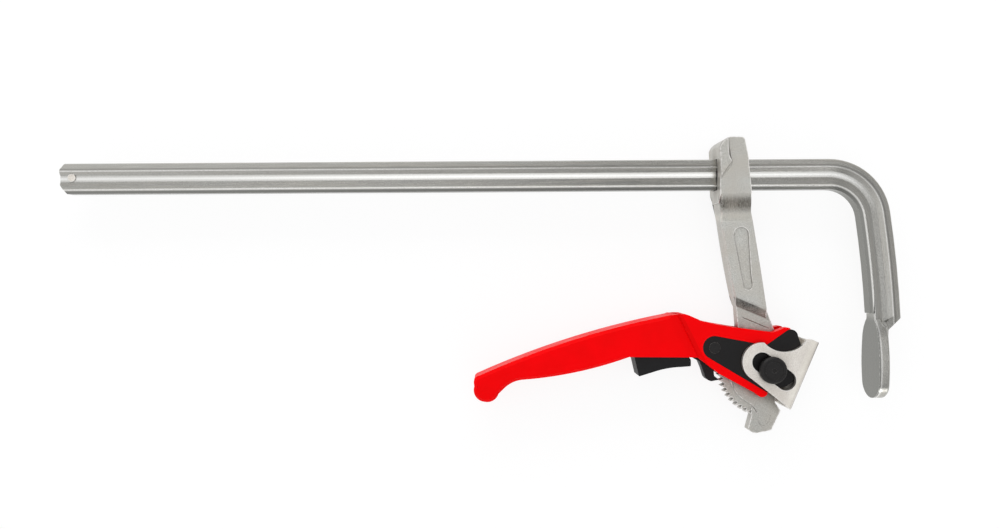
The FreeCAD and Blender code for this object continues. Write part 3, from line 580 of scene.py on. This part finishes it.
def ease(piece, width, segments=2, angle=25):
    """Rounds the edges sharper than the angle and leaves the faces between them flat."""
    only(piece)
    edit_all()
    bpy.ops.mesh.dissolve_limited(angle_limit=math.radians(0.4))
    bpy.ops.object.mode_set(mode="OBJECT")
    bpy.ops.object.shade_smooth()
    bevel = piece.modifiers.new("Eased edges", "BEVEL")
    bevel.width = width * MM
    bevel.segments = segments
    bevel.limit_method = "ANGLE"
    bevel.angle_limit = math.radians(angle)
    bevel.use_clamp_overlap = True
    bevel.miter_outer = "MITER_ARC"
    bevel.harden_normals = True
    bpy.ops.object.modifier_apply(modifier=bevel.name)


def pick(piece, wanted):
    """Opens the piece for editing, with the vertices selected whose place is wanted, which is
    given in millimetres."""
    only(piece)
    bpy.ops.object.mode_set(mode="EDIT")
    bpy.ops.mesh.select_mode(type="VERT")
    bpy.ops.mesh.select_all(action="DESELECT")
    bpy.ops.object.mode_set(mode="OBJECT")
    for vertex in piece.data.vertices:
        vertex.select = bool(wanted(*(vertex.co / MM)))
    bpy.ops.object.mode_set(mode="EDIT")


def nudge(piece, wanted, shift):
    """Moves the wanted vertices by a shift in millimetres."""
    pick(piece, wanted)
    bpy.ops.transform.translate(value=[part * MM for part in shift])
    bpy.ops.object.mode_set(mode="OBJECT")


def grow(piece, wanted, scale, centre):
    """Scales the wanted vertices about a centre in metres."""
    pick(piece, wanted)
    bpy.ops.transform.resize(value=scale, center_override=centre)
    bpy.ops.object.mode_set(mode="OBJECT")


def combine(piece, other, operation):
    """Adds the other solid to the piece or cuts it out, and uses it up."""
    only(piece)
    boolean = piece.modifiers.new(operation, "BOOLEAN")
    boolean.operation = operation
    boolean.solver = "EXACT"
    boolean.object = other
    bpy.ops.object.modifier_apply(modifier=boolean.name)
    bpy.data.objects.remove(other)


def settle(piece):
    """Smooth rounds and flat faces after solids were combined."""
    only(piece)
    bpy.ops.object.shade_smooth_by_angle(angle=math.radians(35))
    weighted = piece.modifiers.new("Flat faces", "WEIGHTED_NORMAL")
    weighted.keep_sharp = True
    weighted.weight = 80
    bpy.ops.object.modifier_apply(modifier=weighted.name)


def prism(name, outline, low, high):
    """A solid between two heights over an outline, all in millimetres."""
    bpy.ops.object.select_all(action="DESELECT")
    bpy.ops.mesh.primitive_circle_add(vertices=len(outline), radius=1, fill_type="NGON")
    solid = bpy.context.active_object
    solid.name = name
    for vertex, (x, y) in zip(solid.data.vertices, outline):
        vertex.co = Vector((x, y, low)) * MM
    edit_all()
    bpy.ops.mesh.extrude_region_move(TRANSFORM_OT_translate={"value": (0, 0, (high - low) * MM)})
    close_up()
    return solid


def scribed(name, route, height, radius, closed):
    """A thin round bar along a route at a height, to cut a pressed line with. An open route
    becomes a smooth curve, and a closed one has straight runs between its points."""
    bpy.ops.object.select_all(action="DESELECT")
    line = bpy.data.curves.new(name, "CURVE")
    line.dimensions = "3D"
    line.bevel_depth = radius * MM
    line.bevel_resolution = 2
    line.use_fill_caps = True
    spline = line.splines.new("POLY" if closed else "BEZIER")
    points = spline.points if closed else spline.bezier_points
    points.add(len(route) - 1)
    for point, (x, y) in zip(points, route):
        if closed:
            point.co = (x * MM, y * MM, height * MM, 1)
        else:
            point.co = Vector((x, y, height)) * MM
            point.handle_left_type = point.handle_right_type = "AUTO"
    spline.resolution_u = 5
    spline.use_cyclic_u = closed
    bar = bpy.data.objects.new(name, line)
    scene.collection.objects.link(bar)
    only(bar)
    bpy.ops.object.convert(target="MESH")
    bar = bpy.context.active_object
    edit_all()
    bpy.ops.mesh.remove_doubles(threshold=0.001 * MM)
    close_up()
    return bar


def stands_for(piece, node, body):
    """Lets the piece ride on its body in place of its CAD node."""
    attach(piece, body)
    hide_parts(node)


def eased(node, body, width, segments=2):
    """A merged copy of a CAD piece with its sharp edges eased, which stands for it."""
    piece = merged(node)
    ease(piece, width, segments)
    stands_for(piece, node, body)
    return piece


def coat(piece, material):
    """Gives the whole piece one finish."""
    piece.data.materials.clear()
    piece.data.materials.append(material)


ROLLED = rolled_steel()
FORGED = forged_zinc("forged_zinc", light=(222, 222, 217), dark=(160, 160, 154), grain=1.7,
                     rough=(0.34, 0.50), depth=0.00008, marks_and_shading=forging_marks_and_shading)
PLATE = forged_zinc("plated_plate", light=(254, 250, 243), dark=(214, 208, 200), grain=1.7,
                    rough=(0.34, 0.48), depth=0.00004, marks_and_shading=folded_edge)
BRIGHT_PIN = forged_zinc("bright_pin", light=(250, 246, 238), dark=(216, 210, 200), grain=1.6,
                         rough=(0.20, 0.32), depth=0.00003)
RED = red_enamel()
BLACK = black_oxide("black_oxide", dark=(14, 14, 15), light=(30, 28, 28), rim_amount=0.6,
                    threshold=0.3)
PIN = black_oxide("worn_pin", dark=(20, 20, 21), light=(42, 40, 39), rim_amount=0.5, threshold=0.2)
NYLON = moulded_plastic()
WIRE = spring_wire()


def jaw_neck():
    """The forged neck that carries the bar's slanted end down the back of the jaw."""
    outline = [(5.0, 27.5), (9.2, 27.0), (10.9, 23.4), (10.6, 17.0), (9.9, 10.0), (9.0, 2.0),
               (7.6, -5.0), (5.0, -5.0)]
    neck = prism("jaw_neck", outline, -6.2, 6.2)
    round_off(2.2, segments=3)
    return neck


def on_ridge(x, y, z):
    """Whether a vertex lies on the CAD bar's inner ridge, above the slanted end."""
    return y > 24 and abs(across(x, y) - CAD_RIDGE) < 0.15 and abs(z) > 5.1


def rolled_bar():
    """The bar with its outer strip leaning outwards, a wide bevel along its inner edge, and the
    fixed jaw thicker at its back, with its neck."""
    bar = merged("rail_and_fixed_jaw")
    # The strip's outer rim, on both faces
    for side in (1, -1):
        nudge(bar, lambda x, y, z: across(x, y) > 10 and z * side > 4.3 and y > 26,
              (0, 0, -side * STRIP_FALL))

    # The inner ridge, along each of the bar's three runs
    bend_start = BEND_CENTRE[0] + 0.1
    nudge(bar, lambda x, y, z: x <= bend_start and on_ridge(x, y, z), (0, RIDGE - CAD_RIDGE, 0))
    for centre, radius, wanted in (
            (BEND_CENTRE, BEND_RADIUS, lambda x, y: x > bend_start and not on_arm(x, y)),
            (ARM_CENTRE, ARM_RADIUS, on_arm)):
        scale = (radius + RIDGE) / (radius + CAD_RIDGE)
        grow(bar, lambda x, y, z: wanted(x, y) and on_ridge(x, y, z), (scale, scale, 1),
             Vector((*centre, 0)) * MM)

    # The jaw's back
    nudge(bar, lambda x, y, z: x > 3.9 and y < 24, (2.0, 0, 0))
    combine(bar, jaw_neck(), "UNION")
    ease(bar, 0.4, segments=3, angle=9)
    stands_for(bar, "rail_and_fixed_jaw", "rail")
    return bar


def domed_pin():
    """The bar's stop pin, with both ends peened to a low dome."""
    low, high = (Vector(corner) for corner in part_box("rail_stop_pin"))
    middle, size = (low + high) / 2, high - low
    bpy.ops.object.select_all(action="DESELECT")
    bpy.ops.mesh.primitive_cylinder_add(
        vertices=48, radius=size.x / 2, depth=size.z, location=middle)
    pin = bpy.context.active_object
    pin.name = "domed_stop_pin"
    bpy.ops.object.transform_apply(location=True, rotation=True, scale=True)
    round_off(2.0, segments=7)
    bpy.ops.object.shade_smooth_by_angle(angle=math.radians(40))
    stands_for(pin, "rail_stop_pin", "rail")
    return pin


def head_apron():
    """The long S slope from the arm's head down to its body, on both sides."""
    left, right = -112.4, -90.9
    hidden, top, foot, steps = 121.8, 119.5, 99.0, 10
    half_head, narrowing, lean = 12.96, 6.1, 0.19
    bpy.ops.object.select_all(action="DESELECT")
    bpy.ops.mesh.primitive_circle_add(vertices=4, radius=1)
    apron = bpy.context.active_object
    corners = ((left, half_head), (right, half_head), (right, -half_head), (left, -half_head))
    for vertex, (x, z) in zip(apron.data.vertices, corners):
        vertex.co = Vector((x, hidden, z)) * MM
    edit_all()
    bpy.ops.mesh.edge_face_add()
    bpy.ops.mesh.extrude_region_move(TRANSFORM_OT_translate={"value": (0, (top - hidden) * MM, 0)})
    half = half_head
    for step in range(1, steps + 1):
        part = step / steps
        lower = half_head - narrowing * (3 * part ** 2 - 2 * part ** 3)
        bpy.ops.mesh.extrude_region_move(TRANSFORM_OT_translate={
            "value": (lean * MM, -(top - foot) / steps * MM, 0)})
        bpy.ops.transform.resize(value=(1, 1, lower / half), center_override=(0, 0, 0))
        half = lower
    close_up()
    ease(apron, 0.8, angle=40)
    return apron


def round_ended(first, first_radius, last, last_radius):
    """A closed line round two ends of their own radius."""
    along = math.atan2(last[1] - first[1], last[0] - first[0])
    steps = 8
    route = []
    for centre, radius, start in ((first, first_radius, along + math.pi / 2),
                                  (last, last_radius, along - math.pi / 2)):
        for step in range(steps + 1):
            turn = start + math.pi * step / steps
            route.append((centre[0] + radius * math.cos(turn),
                          centre[1] + radius * math.sin(turn)))
    return route


def forged_arm():
    """The sliding arm with its sloping neck, and lines pressed into both sides."""
    body = merged("sliding_arm")
    ease(body, 0.5)
    combine(body, head_apron(), "UNION")
    pressed = (
        ("neck outline", NECK_FACE, 0.6, True,
         round_ended((-98.0, 90.4), 3.4, (-91.6, 54.4), 2.9)),
        ("web crease", WEB_FACE, 0.4, False, [(-95.2, 30.9), (-75.6, 22.6)]),
        ("sector edge", WEB_FACE - 0.1, 0.5, False, [
            (-102.6, -14.9), (-100.2, -25.2), (-93.5, -30.2), (-87.0, -35.2), (-85.0, -38.6)]),
        ("tail outline", WEB_FACE + 0.1, 0.25, False, [
            (-83.9, -38.5), (-83.6, -45.6), (-80.9, -48.0), (-77.2, -46.2), (-74.6, -40.0)]),
        ("head crease", HEAD_FACE, 0.75, False, [
            (-106.9, 158.4), (-106.2, 147.4), (-104.3, 142.0), (-109.9, 134.4), (-112.6, 130.6)]),
    )
    for name, height, radius, closed, route in pressed:
        for side in (1, -1):
            combine(body, scribed(name, route, side * height, radius, closed), "DIFFERENCE")
    settle(body)
    stands_for(body, "sliding_arm", "sliding_arm")
    return body


def lever_grip():
    """The red lever with its knee filled out, its ball end fuller, and room round the cams."""
    lever = merged("lever_handle")
    knee = [(-125.4, 28.4), (-131.0, 30.8), (-135.2, 32.9), (-138.2, 33.9), (-142.4, 34.0),
            (-147.0, 33.5), (-146.0, 29.0), (-128.0, 25.0)]
    for low, high in ((4.6, 10.7), (-10.7, -4.6)):
        combine(lever, prism("knee", knee, low, high), "UNION")
    nudge(lever, lambda x, y, z: x < -286.8 and -16.6 < y < -11.2, (-0.7, 0, 0))
    for plate in ("cam_plate_front", "cam_plate_back"):
        room = merged(plate)
        low, high = (Vector(corner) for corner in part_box(plate))
        grow(room, lambda x, y, z: True, (1.022, 1.034, 1), (low + high) / 2)
        combine(lever, room, "DIFFERENCE")
    ease(lever, 0.7, segments=3)
    stands_for(lever, "lever_handle", "lever")
    return lever


def trigger():
    """The pawl's plastic trigger, with its left end drawn out."""
    pad = merged("trigger_pad")
    nudge(pad, lambda x, y, z: x < -162, (-3.4, -0.9, 0))
    ease(pad, 0.8, segments=3)
    stands_for(pad, "trigger_pad", "pawl")
    return pad


def turned_pin():
    """The pivot pin with an eased head and a turned ring in its top."""
    pin = merged("pivot_pin")
    bpy.ops.object.select_all(action="DESELECT")
    bpy.ops.mesh.primitive_torus_add(
        major_radius=6.7 * MM, minor_radius=0.45 * MM, major_segments=48, minor_segments=10,
        location=Vector((*PIVOT, 18.1)) * MM)
    ring = bpy.context.active_object
    bpy.ops.object.transform_apply(location=True, rotation=True, scale=True)
    combine(pin, ring, "DIFFERENCE")
    ease(pin, 0.3, angle=28)
    stands_for(pin, "pivot_pin", "pivot_pin")
    return pin


coat(rolled_bar(), ROLLED)
coat(domed_pin(), BRIGHT_PIN)
coat(forged_arm(), FORGED)
coat(lever_grip(), RED)
for cam_plate in ("cam_plate_front", "cam_plate_back"):
    coat(eased(cam_plate, "lever", 0.6), BLACK)
coat(eased("pressure_bracket", "bracket", 0.6, segments=3), PLATE)
coat(eased("pawl", "pawl", 0.4), BLACK)
coat(trigger(), NYLON)
coat(turned_pin(), PIN)
coat(cad["pivot_pin_cap"], PIN)
coat(cad["pawl_pin"], PIN)
coat(cad["pawl_spring"], WIRE)

# Bench: a pale sheet that shows near white to the camera and keeps the clamp's faint shadow
bpy.ops.mesh.primitive_plane_add(size=60, location=(-0.27, 0.07, BENCH_LEVEL * MM))
bench = bpy.context.active_object
bench.name = "bench"
paper = Finish("paper", Roughness=0.9, Specular_IOR_Level=0.1)
mottle = paper.noise(paper.place, 0.01, 2.0)
sheet = paper.mix(mottle, colour(226, 226, 226), colour(232, 232, 232))
seen = paper.add("LightPath")
bright = paper.math("MAXIMUM", seen.outputs["Is Camera Ray"], seen.outputs["Is Glossy Ray"])
bright = paper.math("MAXIMUM", bright, seen.outputs["Is Transmission Ray"])
paper.out("Base Color", paper.mix(bright, sheet, colour(110, 110, 110)))
paper.shader.inputs["Emission Color"].default_value = (1, 1, 1, 1)
paper.out("Emission Strength", paper.math("MULTIPLY", bright, 0.86))
coat(bench, paper.material)

# Studio sky: its brightness goes by direction, so that each slope of the steel mirrors its own part
world = bpy.data.worlds.new("studio")
scene.world = world
world.use_nodes = True
sky = Nodes(world.node_tree)
direction = sky.add("SeparateXYZ", {0: sky.add("TexCoord").outputs["Generated"]})
sideways = sky.math("ABSOLUTE", direction.outputs["Y"])


def grey(level):
    """A grey of the sky, very slightly blue."""
    return (level, level, level * 1.01, 1)


def sky_strip(beside, lower):
    """Sky that is bright over the clamp's length, dim beside that, and bright at the sides."""
    ramp = sky.add("ValToRGB", {"Fac": sideways})
    stops = ramp.color_ramp.elements
    stops[0].position, stops[0].color = 0.0, grey(0.98)
    stops[1].position, stops[1].color = 1.0, grey(0.9)
    for position, level in ((0.17, 0.95), (0.3, beside), (0.62, lower), (0.82, lower + 0.17)):
        stops.new(position).color = grey(level)
    return ramp.outputs["Color"]


# Towards the fixed jaw the strip's sides are very dim, then bright, and the sky ends in plain
# greys. The far left is plain too, and the whole horizon is white.
towards = direction.outputs["X"]
left_sky = sky.mix(sky.remap(direction.outputs["Y"], 0.38, 0.55), grey(0.68), grey(0.54))
light = sky_strip(0.52, 0.44)
for starts, full, next_sky in (
        (0.0, 0.24, sky_strip(0.12, 0.12)),
        (0.29, 0.37, sky_strip(0.78, 0.58)),
        (-0.15, -0.5, left_sky),
        (0.43, 0.47, grey(0.22)),
        (0.5, 0.62, grey(0.42))):
    light = sky.mix(sky.remap(towards, starts, full), light, next_sky)
light = sky.mix(sky.remap(direction.outputs["Z"], 0.22, 0.08), light, grey(1 / SKY_STRENGTH))
background = world.node_tree.nodes["Background"]
sky.feed(background.inputs["Color"], light)
background.inputs["Strength"].default_value = SKY_STRENGTH


def soft_box(name, place, target, width, depth, power):
    """A rectangular lamp at a place, turned to face a target."""
    source = bpy.data.lights.new(name, "AREA")
    source.shape = "RECTANGLE"
    source.size, source.size_y = width, depth
    source.energy = power
    lamp = bpy.data.objects.new(name, source)
    scene.collection.objects.link(lamp)
    lamp.location = place
    lamp.rotation_euler = (Vector(target) - Vector(place)).to_track_quat("-Z", "Y").to_euler()


soft_box("key", (-0.35, 1.35, 0.6), (-0.27, 0.07, 0), width=1.6, depth=0.5, power=7)
soft_box("fill", (0.5, -1.2, 0.6), (-0.25, 0.05, 0), width=0.9, depth=0.5, power=3)

# Camera: straight above the middle of the photograph, with its slight turn
lens = bpy.data.cameras.new("camera")
lens.lens = 25.946
lens.sensor_width = 36
camera = bpy.data.objects.new("camera", lens)
scene.collection.objects.link(camera)
camera.location = (-0.2715, 0.0704, 0.528)
camera.rotation_euler = (0, 0, -math.radians(0.37))
scene.camera = camera

scene.view_settings.view_transform = "Standard"

bpy.context.view_layer.update()
